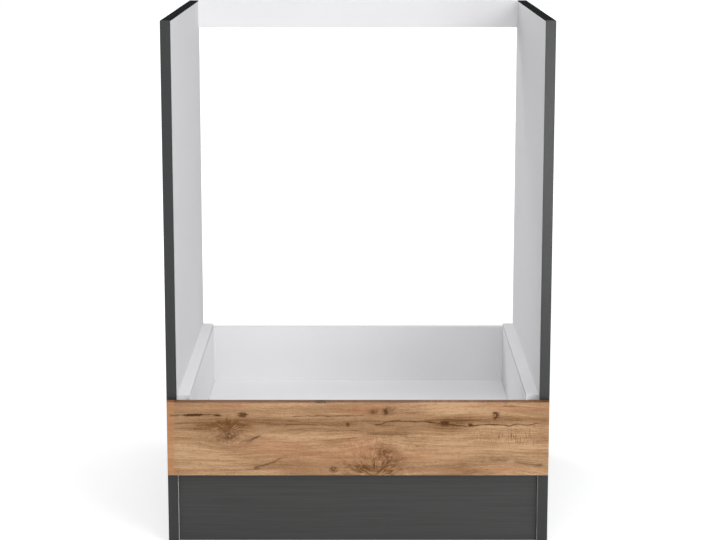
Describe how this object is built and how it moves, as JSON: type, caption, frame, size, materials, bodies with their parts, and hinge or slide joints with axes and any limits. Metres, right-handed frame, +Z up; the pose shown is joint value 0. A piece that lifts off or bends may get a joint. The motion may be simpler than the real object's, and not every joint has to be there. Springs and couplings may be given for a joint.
{
  "type": "oven housing unit",
  "caption": "Floor-standing open kitchen base unit that carries a built-in oven on side battens, with a shallow pull-out drawer under it.",
  "frame": {"origin": "on the floor, at the centre of the width and of the whole depth with the drawer closed", "axes": "+X to the right as seen from the front, +Y to the rear wall, +Z up; the drawer opens towards -Y"},
  "size_m": [0.6, 0.5764, 0.824],
  "materials": {
    "side_board": "matt graphite melamine outside, white melamine inside",
    "plinth_board": "matt graphite melamine with a fine horizontal grain",
    "graphite_band": "matt graphite edge band",
    "white_board": "satin white melamine",
    "white_hardboard": "smooth white lacquer",
    "white_band": "satin white edge band",
    "oak_board": "matt oak decor with knots and a horizontal grain",
    "oak_band": "matt oak edge band",
    "white_steel": "white powder coat",
    "zinc_steel": "bright zinc plating",
    "cam_zinc": "cast zinc alloy",
    "nylon": "off-white nylon",
    "block_plastic": "off-white moulded plastic",
    "dowel_wood": "plain beech"
  },
  "bodies": {
    "cabinet": {"side_panel_left": "side_board", "side_panel_right": "side_board", "plinth_panel": "plinth_board", "side_front_band_left": "graphite_band", "side_front_band_right": "graphite_band", "side_top_band_left": "graphite_band", "side_top_band_right": "graphite_band", "top_rear_rail": "white_board", "bottom_panel": "white_board", "oven_support_batten_left": "white_board", "oven_support_batten_right": "white_board", "bottom_panel_band": "white_band", "cabinet_runner_left": "white_steel", "cabinet_runner_right": "white_steel", "batten_screws": "zinc_steel", "runner_screws": "zinc_steel", "corner_block_screws": "zinc_steel", "runner_roller_pins": "zinc_steel", "cam_bolts": "zinc_steel", "cam_housings": "cam_zinc", "plinth_corner_blocks": "block_plastic", "wood_dowels": "dowel_wood"},
    "drawer": {"drawer_front": "oak_board", "drawer_front_bands": "oak_band", "drawer_bottom": "white_hardboard", "drawer_back": "white_board", "drawer_side_left": "white_steel", "drawer_side_right": "white_steel", "drawer_runner_left": "white_steel", "drawer_runner_right": "white_steel", "drawer_roller_pins": "zinc_steel", "front_bracket_left": "zinc_steel", "front_bracket_right": "zinc_steel", "front_bracket_screws": "zinc_steel", "bracket_rivets": "zinc_steel", "drawer_back_screws": "zinc_steel", "drawer_bottom_screws": "zinc_steel"},
    "runner_roller_left": {"runner_roller_left": "nylon"},
    "runner_roller_right": {"runner_roller_right": "nylon"},
    "drawer_roller_left": {"drawer_roller_left": "nylon"},
    "drawer_roller_right": {"drawer_roller_right": "nylon"}
  },
  "joints": [
    {"name": "drawer_slide", "type": "slide", "parent": "cabinet", "child": "drawer", "axis": [0, -1, 0], "range_m": [0, 0.41]},
    {"name": "runner_roller_left_spin", "type": "hinge", "parent": "cabinet", "child": "runner_roller_left", "pos_m": [-0.2752, -0.25675, 0.1405], "axis": [1, 0, 0], "range_deg": [0, 2611]},
    {"name": "drawer_roller_left_spin", "type": "hinge", "parent": "drawer", "child": "drawer_roller_left", "pos_m": [-0.2752, 0.25625, 0.1405], "axis": [1, 0, 0], "range_deg": [0, 2611]},
    {"name": "runner_roller_right_spin", "type": "hinge", "parent": "cabinet", "child": "runner_roller_right", "pos_m": [0.2752, -0.25675, 0.1405], "axis": [1, 0, 0], "range_deg": [0, 2611]},
    {"name": "drawer_roller_right_spin", "type": "hinge", "parent": "drawer", "child": "drawer_roller_right", "pos_m": [0.2752, 0.25625, 0.1405], "axis": [1, 0, 0], "range_deg": [0, 2611]}
  ],
  "couplings": [
    {"joint": "runner_roller_left_spin", "follows": "drawer_slide", "rad_per_m": 111.11},
    {"joint": "drawer_roller_left_spin", "follows": "drawer_slide", "rad_per_m": 111.11},
    {"joint": "runner_roller_right_spin", "follows": "drawer_slide", "rad_per_m": 111.11},
    {"joint": "drawer_roller_right_spin", "follows": "drawer_slide", "rad_per_m": 111.11}
  ]
}
